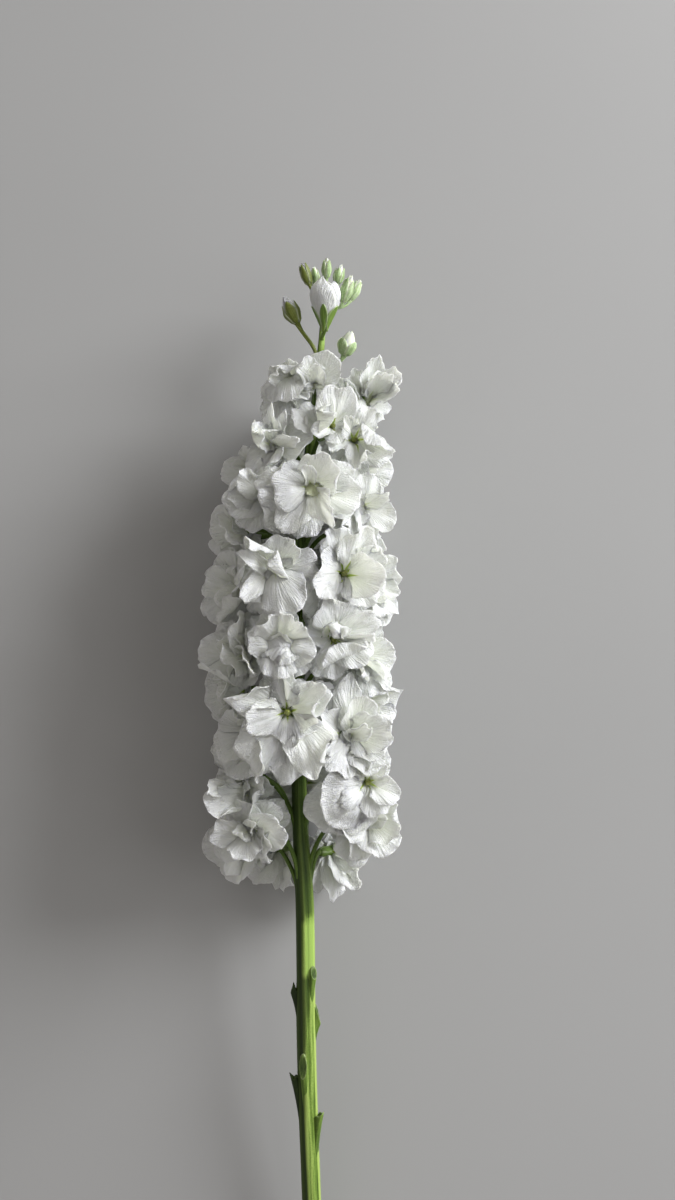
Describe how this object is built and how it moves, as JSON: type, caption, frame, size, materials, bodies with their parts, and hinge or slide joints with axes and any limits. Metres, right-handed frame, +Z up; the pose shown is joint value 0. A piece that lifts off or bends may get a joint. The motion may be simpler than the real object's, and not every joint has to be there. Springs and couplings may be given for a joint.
{
  "type": "stock flower stem",
  "caption": "Cut stem of double white stock lying on its side: a dense spike of ruffled florets and a budded tip on a bare green stem with torn leaf stubs.",
  "frame": {"origin": "on the table, at the plan centre of the lying stem", "axes": "+Y along the stem from the cut end to the bud tip, +Z up from the table, +X to the right when the bud tip points away"},
  "size_m": [0.0846, 0.4814, 0.0747],
  "materials": {
    "stem_green": "fresh green stem, softly ridged, satin",
    "stub_green": "torn leaf base, satin with a pale edge",
    "petal_white": "thin white petals, matt with a soft sheen, slightly see-through",
    "bud_green": "downy green bud",
    "bud_white": "rolled white petals in pale green sepals"
  },
  "bodies": {
    "root": {"main_stem": "stem_green", "floret_01": "petal_white", "floret_02": "petal_white", "floret_03": "petal_white", "floret_04": "petal_white", "floret_05": "petal_white", "floret_06": "petal_white", "floret_07": "petal_white", "floret_08": "petal_white", "floret_09": "petal_white", "floret_10": "petal_white", "floret_11": "petal_white", "floret_12": "petal_white", "floret_13": "petal_white", "floret_14": "petal_white", "floret_15": "petal_white", "floret_16": "petal_white", "floret_17": "petal_white", "floret_18": "petal_white", "floret_19": "petal_white", "floret_20": "petal_white", "floret_21": "petal_white", "floret_22": "petal_white", "floret_23": "petal_white", "floret_24": "petal_white", "floret_25": "petal_white", "floret_26": "petal_white", "floret_27": "petal_white", "floret_28": "petal_white", "floret_29": "petal_white", "floret_30": "petal_white", "floret_31": "petal_white", "floret_32": "petal_white", "floret_33": "petal_white", "floret_34": "petal_white", "floret_35": "petal_white", "floret_36": "petal_white", "floret_37": "petal_white", "floret_38": "petal_white", "floret_39": "petal_white", "floret_40": "petal_white", "floret_41": "petal_white", "floret_42": "petal_white", "floret_43": "petal_white", "floret_44": "petal_white", "bud_opening": "bud_white", "bud_left": "bud_green", "bud_right": "bud_green", "bud_tip_far_left": "bud_green", "bud_tip_left": "bud_green", "bud_tip_middle": "bud_green", "bud_tip_upper_right": "bud_green", "bud_tip_right": "bud_green", "bud_tip_far_right": "bud_green", "leaf_stub_1": "stub_green", "leaf_stub_2": "stub_green", "leaf_stub_3": "stub_green", "leaf_stub_4": "stub_green", "leaf_stub_5": "stub_green", "leaf_stub_6": "stub_green"}
  },
  "joints": []
}
